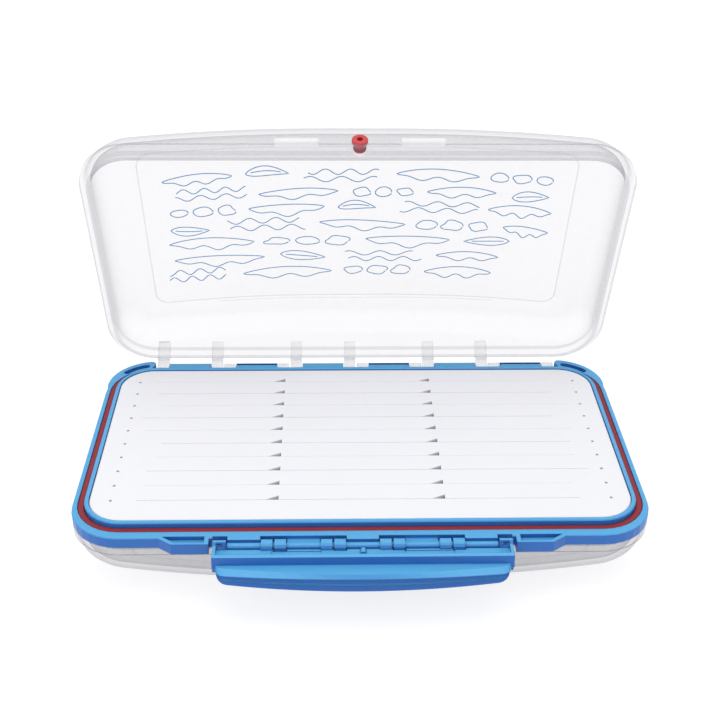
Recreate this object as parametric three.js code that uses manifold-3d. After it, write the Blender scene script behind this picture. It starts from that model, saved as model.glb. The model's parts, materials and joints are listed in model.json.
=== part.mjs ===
// A double-sided waterproof fly box with both hinged lids and both latches, in millimetres.
// X runs along the box, Y runs from the latches to the hinges, and Z points up from the floor.
// The top lid and the top latch stand open. The bottom lid is shut, with its latch just off the catch.
import * as THREE from 'three';
import { mergeVertices } from 'three/addons/utils/BufferGeometryUtils.js';
import Module from 'manifold-3d';

const wasm = await Module();
wasm.setup();

// Driving sizes of the box
const boxLength = 208;
const boxDepth = 113;
const cornerRadius = 19;
const cornerSteps = 8;
const frameHeight = 4.4;
const lidHeight = 20.8;
const runningGap = 0.3;
const overrun = 2;

// How far the photographed box stands open, in degrees
const topLidOpening = 73;
const topLatchOpening = 79.5;
const bottomLatchOpening = 19;

// Middle frame: rim, seal groove, inner wall and the divider between the two foams.
// The groove and all inside it sit nearer to the hinges, which leaves a broader rim at the latches.
const rimWidth = 1.7;
const sealShift = 1.8;
const rimRear = 1.2;
const rimChamfer = 0.3;
const grooveWidth = 2.6;
const grooveFloor = 0.5;
const wallWidth = 1.6;
const wallRise = 1.9;
const wallChamfer = 0.4;
const dividerThickness = 1.6;

// Seals and foams
const sealGap = 0.1;
const sealHeight = 1.5;
const sealRound = 0.3;
const foamGap = 0.15;
const foamDrop = 0.15;
const foamRound = 0.4;
const foamRows = 10;
const foamRowPitch = 8.9;
const foamRowOffset = 1;
const slitOffset = 0.2;
const slitLength = 180.8;
const slitWidth = 0.4;
const slitDepth = 2.2;
const dotRadius = 0.8;
const notchLength = 5;
const notchWidth = 2.2;
const notchDepth = 1.1;

// Lid shell
const shellThickness = 2;
const flangeHeight = 3.2;
const flangeStep = 1.1;
const stepRise = 0.3;
const wallDraft = 0.7;
const edgeRadius = 9.5;
const edgeSteps = 5;
const archFlat = 14;
const archRadius = 460;
const archFacets = 6;
const flangeInner = 3.9;
const ribInset = 2.4;
const ribWidth = 1.2;
const ribDrop = 0.3;
const panelRise = 0.3;
const panelFromHinge = 18;
const panelFromLatch = 15;
const panelCorner = 6;

// Hinge line behind the frame
const hingeSetback = 3.7;
const barrelRadius = 2.2;
const barrelLength = 17.6;
const barrelPitch = 28.5;
const barrelCount = 6;
const pinRadius = 1;
const channelWidth = 1.7;
const armWidth = 4.9;
const armBack = 2.2;
const armRise = 8.3;
const armEmbed = 0.9;

// Catch lugs and vent in each lid's front wall
const lugSpacing = 46;
const lugWidth = 16;
const lugReach = 2.3;
const lugFoot = 0.8;
const lugHeight = 2.6;
const ventHeight = 5.4;
const ventHeadRadius = 3;
const ventNeckRadius = 1.9;
const ventInnerRadius = 2.5;
const ventBore = 1.15;
const ventBoreDepth = 2.6;
const ventProud = 0.2;
const ventSeat = 1.35;
const ventFlange = 0.9;
const ventLip = 0.3;

// Rear corner ears with their lanyard slots
const earReach = 6.3;
const earSweep = 80.3;
const earEndRadius = 2.2;
const earInset = 0.8;
const slotReach = 5;
const slotRadius = 16.75;
const slotWidth = 2.6;
const slotFrom = 42;
const slotTo = 74;

// Front guard brackets beside the latches
const bracketGap = 1.5;
const bracketLength = 17.6;
const bracketSlope = 4.7;
const bracketReach = 3.3;
const bracketWall = 0.9;
const bracketEndWall = 1.6;
const bracketWeb = 1;
const pocketSetback = 1;

// Latch rail on the frame
const railSetback = 2.3;
const railRadius = 1.5;
const railLength = 94;
const railWeb = 1.6;
const padReach = 1;
const notchBack = 1;
const firstPair = 5.9;
const secondPair = 26.6;
const knuckleWidth = 4;
const knuckleSplit = 0.7;
const knuckleRadius = 2.7;
const knuckleBore = 1.75;
const clipOpening = 2.4;
const clipTurn = -45;

// Latch section: "along" runs from the rail to the tip, "out" runs away from the lid
const latchLength = 103.8;
const shelfStart = 1.9;
const shelfEnd = 5.9;
const hookDepth = 0.5;
const hookThickness = 0.5;
const bodyEnd = 7.4;
const tabInner = 3;
const tabOuter = 4.8;
const tabInset = 1.2;
const tabTip = 14.9;
const tabBow = 3.2;
const tabCorner = 3.5;
const tabStations = 16;
const lensShare = 0.885;
const lensBowShare = 0.395;
const tipInner = 4.4;
const tipOuter = 4.6;
const grooveDepth = 0.45;
const gripShares = [0.33, 0.7];
const gripHalfShare = 0.065;
const shoulderAlong = 6.2;
const neckAlong = 2.6;
const neckOut = 1.9;
const heelOut = 0.9;
const padRecess = 0.3;
const padMargin = 0.7;
const nubHeight = 0.9;
const nubHalf = 1.5;
const nubHalfTop = 0.6;
const postReach = 2.9;
const postEmbed = 0.3;
const postStart = 0.2;
const postTop = 1.6;
const windowWidth = 2.1;
const windowSill = 0.6;
const endWall = 1.2;
const endTaper = 1.7;

// Derived places, measured from the box's centre
const halfLength = boxLength / 2;
const halfDepth = boxDepth / 2;
const halfFrame = frameHeight / 2;
const cornerX = halfLength - cornerRadius;
const cornerY = halfDepth - cornerRadius;
const wallInset = rimWidth + grooveWidth;
const pocketInset = wallInset + wallWidth;
const wallTop = halfFrame + wallRise;
const hingeY = halfDepth + hingeSetback;
const railY = -halfDepth - railSetback;
const latchEnd = latchLength / 2;
const bracketInner = latchEnd + bracketGap;
const middleHeight = lidHeight + halfFrame + panelRise;
const lidFoot = halfFrame + runningGap;
const lidTop = halfFrame + lidHeight;

// Turns a closed three.js geometry into a solid, without the flat triangles on a lathe's axis
function solid(geometry) {
  geometry.deleteAttribute('normal');
  geometry.deleteAttribute('uv');
  const merged = mergeVertices(geometry);
  const corners = Array.from(merged.index.array);
  const triangles = [];
  for (let i = 0; i < corners.length; i += 3) {
    const [a, b, c] = corners.slice(i, i + 3);
    if (a !== b && b !== c && c !== a) {
      triangles.push(a, b, c);
    }
  }
  return new wasm.Manifold(new wasm.Mesh({
    numProp: 3,
    vertProperties: new Float32Array(merged.attributes.position.array),
    triVerts: new Uint32Array(triangles),
  }));
}

function geometryOf(body) {
  const mesh = body.getMesh();
  const geometry = new THREE.BufferGeometry();
  geometry.setAttribute('position', new THREE.BufferAttribute(new Float32Array(mesh.vertProperties), 3));
  geometry.setIndex(new THREE.BufferAttribute(new Uint32Array(mesh.triVerts), 1));
  return geometry;
}

function join(bodies) {
  return bodies.reduce((sum, body) => sum.add(body));
}

function cut(body, tools) {
  return tools.reduce((rest, tool) => rest.subtract(tool), body);
}

// Extrudes an outline along an axis: (x, y) along z, (y, z) along x, or (x, z) along y
const axisFrames = {
  x: [new THREE.Vector3(0, 1, 0), new THREE.Vector3(0, 0, 1), new THREE.Vector3(1, 0, 0)],
  y: [new THREE.Vector3(1, 0, 0), new THREE.Vector3(0, 0, 1), new THREE.Vector3(0, -1, 0)],
  z: [new THREE.Vector3(1, 0, 0), new THREE.Vector3(0, 1, 0), new THREE.Vector3(0, 0, 1)],
};

function prism(axis, from, to, points) {
  const shape = new THREE.Shape(points.map(([a, b]) => new THREE.Vector2(a, b)));
  const geometry = new THREE.ExtrudeGeometry(shape, { depth: to - from, bevelEnabled: false });
  geometry.applyMatrix4(new THREE.Matrix4().makeBasis(...axisFrames[axis]));
  const shift = { x: [from, 0, 0], y: [0, to, 0], z: [0, 0, from] }[axis];
  geometry.translate(...shift);
  return solid(geometry);
}

// An (x, y) outline drawn for the right-hand side, put on the side asked for
function onSide(side, points) {
  return side > 0 ? points : points.map(([x, y]) => [-x, y]).reverse();
}

function block(x, y, z) {
  return prism('z', z[0], z[1], [[x[0], y[0]], [x[1], y[0]], [x[1], y[1]], [x[0], y[1]]]);
}

// Points on an arc between two angles in degrees, both ends included
function arc(centreA, centreB, radiusA, radiusB, from, to, steps) {
  const points = [];
  for (let i = 0; i <= steps; i += 1) {
    const angle = THREE.MathUtils.degToRad(from + (to - from) * i / steps);
    points.push([centreA + radiusA * Math.cos(angle), centreB + radiusB * Math.sin(angle)]);
  }
  return points;
}

function rod(axis, from, to, centre, radius, sides) {
  const turn = 180 / sides;
  const points = arc(centre[0], centre[1], radius, radius, turn, 360 + turn, sides);
  points.pop();
  return prism(axis, from, to, points);
}

// One ring of the box's outline, drawn in by an inset, with the same point count for every inset.
// "stations" are the places along the straight front and rear edges where the arched lids bend.
function outlineRing(inset, stations) {
  const radius = cornerRadius - inset;
  const corner = (signX, signY, from) => arc(signX * cornerX, signY * cornerY, radius, radius,
    from, from + 90, cornerSteps);
  const front = stations.map((x) => [x, -cornerY - radius]);
  const rear = stations.map((x) => [-x, cornerY + radius]);
  return [
    ...front.slice(0, -1), ...corner(1, -1, -90), ...corner(1, 1, 0).slice(0, -1),
    ...rear.slice(0, -1), ...corner(-1, 1, 90), ...corner(-1, -1, 180).slice(0, -1),
  ];
}

// Caps a ring with strips between its front and rear edges and a fan at each rounded end
function capTriangles(stationCount, ringSize) {
  const last = stationCount - 1;
  const rearStart = last + 2 * cornerSteps + 1;
  const rearEnd = rearStart + last;
  const triangles = [];
  for (let i = 0; i < last; i += 1) {
    triangles.push([i, i + 1, rearEnd - i - 1], [i, rearEnd - i - 1, rearEnd - i]);
  }
  for (let i = last + 1; i < rearStart; i += 1) {
    triangles.push([last, i, i + 1]);
  }
  for (let i = rearEnd + 1; i < ringSize; i += 1) {
    triangles.push([rearEnd, i, (i + 1) % ringSize]);
  }
  return triangles;
}

// Lofts the box's outline through rings of { inset, height }, where a height may depend on x.
// "shift" moves the whole loft towards the hinges.
function stack(rings, { stations = [-cornerX, cornerX], shift = 0 } = {}) {
  const positions = [];
  const index = [];
  const outlines = rings.map((ring) => outlineRing(ring.inset, stations));
  const size = outlines[0].length;
  rings.forEach((ring, level) => {
    outlines[level].forEach(([x, y]) => {
      positions.push(x, y + shift, typeof ring.height === 'function' ? ring.height(x) : ring.height);
    });
  });
  for (let level = 0; level < rings.length - 1; level += 1) {
    for (let i = 0; i < size; i += 1) {
      const next = (i + 1) % size;
      const low = level * size;
      const high = low + size;
      index.push(low + i, low + next, high + next, low + i, high + next, high + i);
    }
  }
  const top = (rings.length - 1) * size;
  capTriangles(stations.length, size).forEach(([a, b, c]) => {
    index.push(top + a, top + b, top + c, a, c, b);
  });
  const geometry = new THREE.BufferGeometry();
  geometry.setAttribute('position', new THREE.BufferAttribute(new Float32Array(positions), 3));
  geometry.setIndex(index);
  return solid(geometry);
}

// Lofts closed sections of (y, z) points that share a point count, one at each place along x
function sectionLoft(sections) {
  const positions = [];
  const index = [];
  const size = sections[0].points.length;
  sections.forEach(({ x, points }) => points.forEach(([y, z]) => positions.push(x, y, z)));
  for (let s = 0; s < sections.length - 1; s += 1) {
    for (let i = 0; i < size; i += 1) {
      const next = (i + 1) % size;
      const near = s * size;
      const far = near + size;
      index.push(near + i, near + next, far + next, near + i, far + next, far + i);
    }
  }
  const caps = THREE.ShapeUtils.triangulateShape(
    sections[0].points.map(([y, z]) => new THREE.Vector2(y, z)), []);
  const far = (sections.length - 1) * size;
  caps.forEach(([a, b, c]) => index.push(a, c, b, far + a, far + b, far + c));
  const geometry = new THREE.BufferGeometry();
  geometry.setAttribute('position', new THREE.BufferAttribute(new Float32Array(positions), 3));
  geometry.setIndex(index);
  return solid(geometry);
}

// Outline of the seal or of what lies inside it, extruded straight up between two heights
function sealSlab(inset, from, to) {
  return stack([{ inset, height: from }, { inset, height: to }], { shift: sealShift });
}

function mirrored(list, maker) {
  return list.flatMap((item) => [maker(item, 1), maker(item, -1)]);
}

// Places of the hinge barrels: the first, third and fifth carry the top lid
function barrelPlaces(parity) {
  const places = [];
  for (let i = parity; i < barrelCount; i += 2) {
    places.push((i - (barrelCount - 1) / 2) * barrelPitch);
  }
  return places;
}

// One hinge barrel with the channel that the lid's pin snaps into, open up (1) or down (-1)
function hingeBarrel(x, side) {
  const from = x - barrelLength / 2;
  const to = x + barrelLength / 2;
  const root = halfDepth + rimRear / 2;
  const body = prism('x', from, to, [
    [root, -barrelRadius],
    ...arc(hingeY, 0, barrelRadius, barrelRadius, -90, 90, cornerSteps),
    [root, barrelRadius],
  ]);
  const bore = rod('x', from - overrun, to + overrun, [hingeY, 0], pinRadius + runningGap, 2 * cornerSteps);
  const mouth = side > 0 ? [0, barrelRadius + overrun] : [-barrelRadius - overrun, 0];
  const slot = block([from - overrun, to + overrun],
    [hingeY - channelWidth / 2, hingeY + channelWidth / 2], mouth);
  return cut(body, [bore, slot]);
}

// A rear corner ear: the corner's outline moved backwards, outside the seal groove
function cornerEar(side) {
  const outer = arc(cornerX, cornerY + earReach, cornerRadius, cornerRadius, 0, earSweep, 2 * cornerSteps);
  const [endX, endY] = outer.pop();
  const end = arc(endX, endY - earEndRadius, earEndRadius, earEndRadius, 90, 180, cornerSteps / 2);
  const inner = arc(cornerX, cornerY, cornerRadius - earInset, cornerRadius - earInset,
    earSweep, 0, cornerSteps);
  return prism('z', -halfFrame, halfFrame, onSide(side, [...outer, ...end, ...inner]));
}

// The curved slot for a lanyard through a corner ear
function lanyardSlot(side) {
  const half = slotWidth / 2;
  const centreY = cornerY + slotReach;
  const endCentre = (degrees) => arc(cornerX, centreY, slotRadius, slotRadius, degrees, degrees, 1)[0];
  const first = endCentre(slotFrom);
  const last = endCentre(slotTo);
  const points = [
    ...arc(cornerX, centreY, slotRadius + half, slotRadius + half, slotFrom, slotTo, cornerSteps),
    ...arc(last[0], last[1], half, half, slotTo, slotTo + 180, cornerSteps).slice(1, -1),
    ...arc(cornerX, centreY, slotRadius - half, slotRadius - half, slotTo, slotFrom, cornerSteps),
    ...arc(first[0], first[1], half, half, slotFrom - 180, slotFrom, cornerSteps).slice(1, -1),
  ];
  return prism('z', -halfFrame - overrun, halfFrame + overrun, onSide(side, points));
}

// A guard bracket beside the latches
const bracketFront = -halfDepth - bracketReach;
const bracketOuter = bracketInner + bracketLength;

function guardBracket(side) {
  const back = -halfDepth + rimWidth / 2;
  const plan = [[bracketInner, back], [bracketInner, bracketFront],
    [bracketOuter - bracketSlope, bracketFront], [bracketOuter, -halfDepth], [bracketOuter, back]];
  return prism('z', -halfFrame, halfFrame, onSide(side, plan));
}

// The open pockets above and below the bracket's web, which run on a little into the rim
function guardPockets(side) {
  const back = -halfDepth + pocketSetback;
  const front = bracketFront + bracketWall;
  const slant = bracketSlope / bracketReach;
  const outer = bracketOuter - bracketEndWall - bracketWall + slant * pocketSetback;
  const plan = [[bracketInner + bracketEndWall, back], [bracketInner + bracketEndWall, front],
    [outer - slant * (back - front), front], [outer, back]];
  return [
    prism('z', bracketWeb / 2, halfFrame + overrun, onSide(side, plan)),
    prism('z', -halfFrame - overrun, -bracketWeb / 2, onSide(side, plan)),
  ];
}

// Stretches of the front edge, as [from, to] on the right-hand side
const pairLength = 2 * knuckleWidth + knuckleSplit;
const knuckleZone = [firstPair - runningGap, secondPair + pairLength + runningGap];
const postZone = [railLength / 2, latchEnd + runningGap];
const railZones = [[-knuckleZone[0], knuckleZone[0]], [knuckleZone[1], postZone[0]],
  [-postZone[0], -knuckleZone[1]]];

// The rail that both latches clip to, with the pads and webs that hold it off the frame
function latchRail() {
  const rail = rod('x', -railLength / 2, railLength / 2, [railY, 0], railRadius, 2 * cornerSteps);
  const supports = railZones.flatMap(([from, to]) => [
    block([from, to], [-halfDepth - padReach, -halfDepth + rimWidth / 2], [-halfFrame, halfFrame]),
    block([from, to], [railY, -halfDepth], [-railWeb / 2, railWeb / 2]),
  ]);
  const webs = [1, -1].map((side) => {
    const ends = [firstPair + pairLength + runningGap, secondPair - runningGap].map((x) => side * x);
    return block(ends.sort((a, b) => a - b), [railY, -halfDepth + notchBack + rimWidth / 2],
      [-railWeb / 2, railWeb / 2]);
  });
  return join([rail, ...supports, ...webs]);
}

function frontNotches() {
  return mirrored([knuckleZone, postZone], ([from, to], side) => {
    const ends = [side * from, side * to].sort((a, b) => a - b);
    return block(ends, [-halfDepth - overrun, -halfDepth + notchBack], [-wallTop, wallTop]);
  });
}

function middleFrame() {
  const plates = [0, rimRear].map((shift) => stack([
    { inset: rimChamfer, height: -halfFrame },
    { inset: 0, height: -halfFrame + rimChamfer },
    { inset: 0, height: halfFrame - rimChamfer },
    { inset: rimChamfer, height: halfFrame },
  ], { shift }));
  const wall = stack([
    { inset: wallInset + wallChamfer, height: -wallTop },
    { inset: wallInset, height: -wallTop + wallChamfer },
    { inset: wallInset, height: wallTop - wallChamfer },
    { inset: wallInset + wallChamfer, height: wallTop },
  ], { shift: sealShift });
  const groove = (from, to) => sealSlab(rimWidth, from, to).subtract(sealSlab(wallInset, from, to));
  const tray = join([
    cut(join([...plates, wall]), frontNotches()),
    ...barrelPlaces(0).map((x) => hingeBarrel(x, -1)),
    ...barrelPlaces(1).map((x) => hingeBarrel(x, 1)),
    cornerEar(1), cornerEar(-1),
    guardBracket(1), guardBracket(-1),
    latchRail(),
  ]);
  return cut(tray, [
    sealSlab(pocketInset, dividerThickness / 2, wallTop + overrun),
    sealSlab(pocketInset, -wallTop - overrun, -dividerThickness / 2),
    groove(grooveFloor, halfFrame + overrun),
    groove(-halfFrame - overrun, -grooveFloor),
    lanyardSlot(1), lanyardSlot(-1),
    ...guardPockets(1), ...guardPockets(-1),
  ]);
}

// The seal for the upper groove
function gasket() {
  const floor = grooveFloor + sealGap;
  const top = floor + sealHeight;
  const outer = rimWidth + sealGap;
  const inner = wallInset - sealGap;
  const ring = stack([
    { inset: outer, height: floor },
    { inset: outer, height: top - sealRound },
    { inset: outer + sealRound, height: top },
  ], { shift: sealShift });
  const hole = stack([
    { inset: inner, height: floor - overrun },
    { inset: inner, height: top - sealRound },
    { inset: inner - sealRound, height: top },
    { inset: inner - sealRound, height: top + overrun },
  ], { shift: sealShift });
  return ring.subtract(hole);
}

// The slit foam for the upper pocket: long slits with a pin hole at each end and two thread notches
function slitFoam() {
  const inset = pocketInset + foamGap;
  const top = wallTop - foamDrop;
  const pad = stack([
    { inset, height: dividerThickness / 2 + sealGap },
    { inset, height: top - foamRound },
    { inset: inset + foamRound, height: top },
  ], { shift: sealShift });
  const cuts = [];
  const floor = top - slitDepth;
  const ceiling = top + overrun;
  const ends = [slitOffset - slitLength / 2, slitOffset + slitLength / 2];
  const notches = [slitOffset - slitLength / 6, slitOffset + slitLength / 6];
  for (let row = 0; row < foamRows; row += 1) {
    const y = sealShift + foamRowOffset + ((foamRows - 1) / 2 - row) * foamRowPitch;
    cuts.push(block(ends, [y - slitWidth / 2, y + slitWidth / 2], [floor, ceiling]));
    cuts.push(...ends.map((x) => rod('z', floor, ceiling, [x, y], dotRadius, cornerSteps)));
    cuts.push(...notches.map((x) => prism('z', top - notchDepth, ceiling,
      [[x - notchLength, y], [x, y], [x, y + notchWidth]])));
  }
  return cut(pad, cuts);
}

// Height of the lid's outer face above the frame's middle, flat in the centre and arched towards the ends
const archStations = [];
for (let i = archFacets; i > 0; i -= 1) {
  archStations.push(-archFlat - (cornerX - archFlat) * i / archFacets);
}
archStations.push(-archFlat, ...archStations.map((x) => -x).reverse(), archFlat);
archStations.sort((a, b) => a - b);

function archHeight(x) {
  const reach = Math.max(Math.abs(x) - archFlat, 0);
  const span = cornerX - archFlat;
  const facet = span / archFacets;
  const inside = Math.min(reach, span);
  const lastSlope = (span * span - (span - facet) ** 2) / (2 * archRadius * facet);
  const beyond = Math.min(Math.max(reach - span, 0), cornerRadius - wallDraft - flangeStep - edgeRadius);
  return lidTop - inside * inside / (2 * archRadius) - beyond * lastSlope;
}

// Rings of the rounded edge between a lid's wall and its arched face
function edgeRings(inset, radius, drop) {
  return Array.from({ length: edgeSteps + 1 }, (unused, i) => {
    const angle = Math.PI / 2 * i / edgeSteps;
    return {
      inset: inset + radius * (1 - Math.cos(angle)),
      height: (x) => archHeight(x) - drop - radius * (1 - Math.sin(angle)),
    };
  });
}

// Low raised panel on the arched face, which is what a shut box stands on
function facePanel() {
  const rear = halfDepth - panelFromHinge;
  const front = -halfDepth + panelFromLatch;
  const faces = archStations.map((x) => [x, archHeight(x) + panelRise]);
  const roots = archStations.map((x) => [x, archHeight(x) - shellThickness / 2]).reverse();
  const band = prism('y', front, rear, [...faces, ...roots]);
  const corner = (x, y, from) => arc(x, y, panelCorner, panelCorner, from, from + 90, cornerSteps / 2);
  const plan = [
    ...corner(cornerX - panelCorner, front + panelCorner, -90),
    ...corner(cornerX - panelCorner, rear - panelCorner, 0),
    ...corner(-cornerX + panelCorner, rear - panelCorner, 90),
    ...corner(-cornerX + panelCorner, front + panelCorner, 180),
  ];
  return band.intersect(prism('z', 0, lidTop + overrun, plan));
}

// The two arms and the pin between them that hold a lid on one barrel
function hingeArms(x) {
  const inner = barrelLength / 2 + runningGap;
  const wallY = halfDepth - flangeStep - armEmbed;
  const foot = lidFoot + sealGap;
  const profile = [
    [wallY, foot], [hingeY - barrelRadius, foot],
    ...arc(hingeY, 0, barrelRadius, barrelRadius, 180, 360, cornerSteps),
    [hingeY + armBack, foot], [halfDepth - flangeStep, foot + armRise], [wallY, foot + armRise],
  ];
  return [
    prism('x', x + inner, x + inner + armWidth, profile),
    prism('x', x - inner - armWidth, x - inner, profile),
    rod('x', x - inner - armWidth / 2, x + inner + armWidth / 2, [hingeY, 0], pinRadius, 2 * cornerSteps),
  ];
}

// Heights and depths of the vent, shared by the lid and its plug
const ventZ = halfFrame + ventHeight;
const ventFace = -halfDepth - ventProud;
const ventSeatY = -halfDepth + ventSeat;
const ventWallY = -halfDepth + flangeStep + wallDraft + shellThickness;

// A clear lid as it lies on top of the frame
function lidShell() {
  const outer = stack([
    { inset: 0, height: lidFoot },
    { inset: 0, height: halfFrame + flangeHeight },
    { inset: flangeStep, height: halfFrame + flangeHeight + stepRise },
    ...edgeRings(flangeStep + wallDraft, edgeRadius, 0),
  ], { stations: archStations });
  const inside = flangeStep + wallDraft + shellThickness;
  const hollow = stack([
    { inset: inside, height: halfFrame + flangeHeight },
    ...edgeRings(inside, edgeRadius - shellThickness, shellThickness),
  ], { stations: archStations });
  const mouth = sealSlab(flangeInner, lidFoot - overrun, halfFrame + flangeHeight);
  const rib = sealSlab(ribInset, lidFoot - ribDrop, lidFoot + ribDrop)
    .subtract(sealSlab(ribInset + ribWidth, lidFoot - ribDrop, lidFoot + ribDrop));
  const lugs = [-lugSpacing / 2, lugSpacing / 2].map((x) => block(
    [x - lugWidth / 2, x + lugWidth / 2], [-halfDepth - lugReach, -halfDepth + flangeStep / 2],
    [halfFrame + lugFoot, halfFrame + lugFoot + lugHeight]));
  const ventRelief = rod('y', -halfDepth - lugReach, ventSeatY, [0, ventZ],
    ventHeadRadius + runningGap, 3 * cornerSteps);
  const ventHole = rod('y', ventSeatY - overrun, ventWallY + overrun, [0, ventZ],
    ventNeckRadius + sealGap, 2 * cornerSteps);
  const ventRoom = rod('y', ventWallY, ventWallY + ventFlange + overrun, [0, ventZ],
    ventInnerRadius + runningGap, 2 * cornerSteps);
  const arms = barrelPlaces(0).flatMap(hingeArms);
  const shell = join([cut(outer, [hollow, mouth]), facePanel(), rib, ...lugs, ...arms]);
  return cut(shell, [ventRelief, ventHole, ventRoom]);
}

// The silicone vent plug, turned about its own axis and pushed through the front wall
function ventPlug() {
  const face = 0;
  const seat = ventSeatY - ventFace - sealGap;
  const inside = ventWallY - ventFace + sealGap;
  const profile = [
    [0, face + ventBoreDepth], [ventBore, face + ventBoreDepth], [ventBore, face],
    [ventHeadRadius - ventLip, face], [ventHeadRadius, face + ventLip], [ventHeadRadius, seat],
    [ventNeckRadius, seat], [ventNeckRadius, inside], [ventInnerRadius, inside],
    [ventInnerRadius - ventLip, inside + ventFlange], [0, inside + ventFlange],
  ].map(([radius, depth]) => new THREE.Vector2(radius, depth));
  const geometry = new THREE.LatheGeometry(profile, 3 * cornerSteps);
  geometry.translate(0, ventFace, ventZ);
  return solid(geometry);
}

const tabEnd = latchEnd - tabInset;

// The tab's section at one place along the latch, shorter towards its rounded ends
function tabSection(x) {
  const overCorner = Math.max(Math.abs(x) - (tabEnd - tabCorner), 0);
  const rounding = tabCorner - Math.sqrt(Math.max(tabCorner ** 2 - overCorner ** 2, 0));
  const bow = (x / tabEnd) ** 2;
  const tip = tabTip - tabBow * bow - rounding;
  const lens = shoulderAlong + (tip - shoulderAlong) * (lensShare - lensBowShare * bow);
  const edge = tip - sealRound;
  const reach = edge - shoulderAlong;
  const face = (share, depth) => [shoulderAlong + reach * share,
    tabOuter - (tabOuter - tipOuter) * share - depth];
  const grips = gripShares.flatMap((share) => [
    face(share - gripHalfShare, 0), face(share, grooveDepth), face(share + gripHalfShare, 0),
  ]);
  const section = [
    [lens, tabInner], [tip, tipInner], face(1, 0), ...grips.reverse(),
    [shoulderAlong, tabOuter], [shoulderAlong, tabInner],
  ];
  return { x, points: section.map(([along, out]) => [-out, along]) };
}

// The end post that stands behind the shelf, with its window
function latchPost(side) {
  const outerX = side * latchEnd;
  const innerX = side * (railLength / 2 + runningGap);
  const wallX = outerX - side * endWall;
  const middleX = (outerX + innerX) / 2;
  const span = (a, b) => [Math.min(a, b), Math.max(a, b)];
  const root = shelfStart + sealRound;
  const plate = prism('x', ...span(innerX, outerX), [
    [0, postStart], [postReach, postStart], [postReach, postTop], [0, root], [-postEmbed, root]]);
  const window = block([middleX - windowWidth / 2, middleX + windowWidth / 2],
    [0, postReach - windowSill], [-overrun, shelfStart]);
  const end = prism('x', ...span(wallX, outerX), [
    [0, postStart], [postReach, postStart], [postReach, postTop], [endTaper, root],
    [hookDepth, shelfEnd + hookThickness], [-neckOut, shelfEnd + hookThickness], [-heelOut, shelfStart],
  ]);
  return join([plate, end]).subtract(window);
}

// Knuckle stretches along x: the first of each pair is this latch's, the second the other latch's
function knuckleStarts() {
  const starts = [firstPair, secondPair];
  return [...starts, ...starts.map((start) => -start - pairLength)];
}

// The gap that lets a knuckle snap over the rail, turned out of sight
function clipMouth(from, to) {
  const turn = THREE.MathUtils.degToRad(clipTurn);
  const place = (along, across) => [
    along * Math.cos(turn) - across * Math.sin(turn), along * Math.sin(turn) + across * Math.cos(turn)];
  const reach = knuckleRadius + overrun;
  const half = clipOpening / 2;
  return prism('x', from, to, [place(0, -half), place(reach, -half), place(reach, half), place(0, half)]);
}

// A latch in its shut place, with the rail's centre as its origin
function latch() {
  const body = prism('x', -latchEnd, latchEnd, [
    [-heelOut, shelfStart], [0, shelfStart], [0, shelfEnd], [hookDepth, shelfEnd],
    [hookDepth, shelfEnd + hookThickness], [0, bodyEnd], [-tabOuter + rimChamfer, bodyEnd],
    [-tabOuter, bodyEnd - rimChamfer], [-tabOuter, shoulderAlong], [-neckOut, neckAlong],
  ]);
  const straight = tabEnd - tabCorner;
  const stations = Array.from({ length: tabStations + 1 },
    (unused, i) => straight * (2 * i / tabStations - 1));
  const corner = arc(straight, 0, tabCorner, tabCorner, 90, 0, cornerSteps / 2).slice(1).map(([x]) => x);
  const places = [...corner.map((x) => -x).reverse(), ...stations, ...corner];
  const tab = sectionLoft(places.map(tabSection));
  const rings = knuckleStarts().map((start) => rod('x', start, start + knuckleWidth, [0, 0],
    knuckleRadius, 2 * cornerSteps));
  const bores = knuckleStarts().map((start) => rod('x', start - runningGap, start + knuckleWidth + runningGap,
    [0, 0], knuckleBore, 2 * cornerSteps));
  const mouths = knuckleStarts().map((start) => clipMouth(start - runningGap,
    start + knuckleWidth + runningGap));
  const clearances = knuckleStarts().map((start) => rod('x', -start - knuckleWidth - runningGap,
    -start + runningGap, [0, 0], knuckleRadius + runningGap, 2 * cornerSteps));
  const pads = [-lugSpacing / 2, lugSpacing / 2].map((x) => block(
    [x - lugWidth / 2 - padMargin, x + lugWidth / 2 + padMargin], [-padRecess, overrun],
    [knuckleRadius + runningGap, shelfEnd]));
  const shelfMiddle = (shelfStart + shelfEnd) / 2;
  const nub = prism('z', shelfMiddle - nubHalf, shelfMiddle + nubHalf, [
    [-nubHalf, -padRecess], [nubHalf, -padRecess], [nubHalfTop, nubHeight], [-nubHalfTop, nubHeight]]);
  return join([
    cut(join([body, tab, latchPost(1), latchPost(-1)]), [...clearances, ...pads]),
    nub,
    ...rings.map((ring, i) => cut(ring, [bores[i], mouths[i]])),
  ]);
}

const bluePlastic = new THREE.MeshStandardMaterial({ color: 0x2f86d6, roughness: 0.35, metalness: 0 });
const redSilicone = new THREE.MeshStandardMaterial({ color: 0xb5302c, roughness: 0.6, metalness: 0 });
const whiteFoam = new THREE.MeshStandardMaterial({ color: 0xf4f4f8, roughness: 0.9, metalness: 0 });
const clearPlastic = new THREE.MeshStandardMaterial({
  color: 0xeef1f4, roughness: 0.08, metalness: 0, transparent: true, opacity: 0.3 });

function named(name, geometry, material) {
  const mesh = new THREE.Mesh(geometry, material);
  mesh.name = name;
  return mesh;
}

// A piece that turns about an X axis through (0, y, 0), with its geometry measured from the box's centre
function turning(mesh, y, degrees, originAtAxis) {
  const pivot = new THREE.Group();
  pivot.position.set(0, y, 0);
  pivot.rotation.x = THREE.MathUtils.degToRad(degrees);
  mesh.position.set(0, originAtAxis ? 0 : -y, 0);
  pivot.add(mesh);
  return pivot;
}

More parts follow.
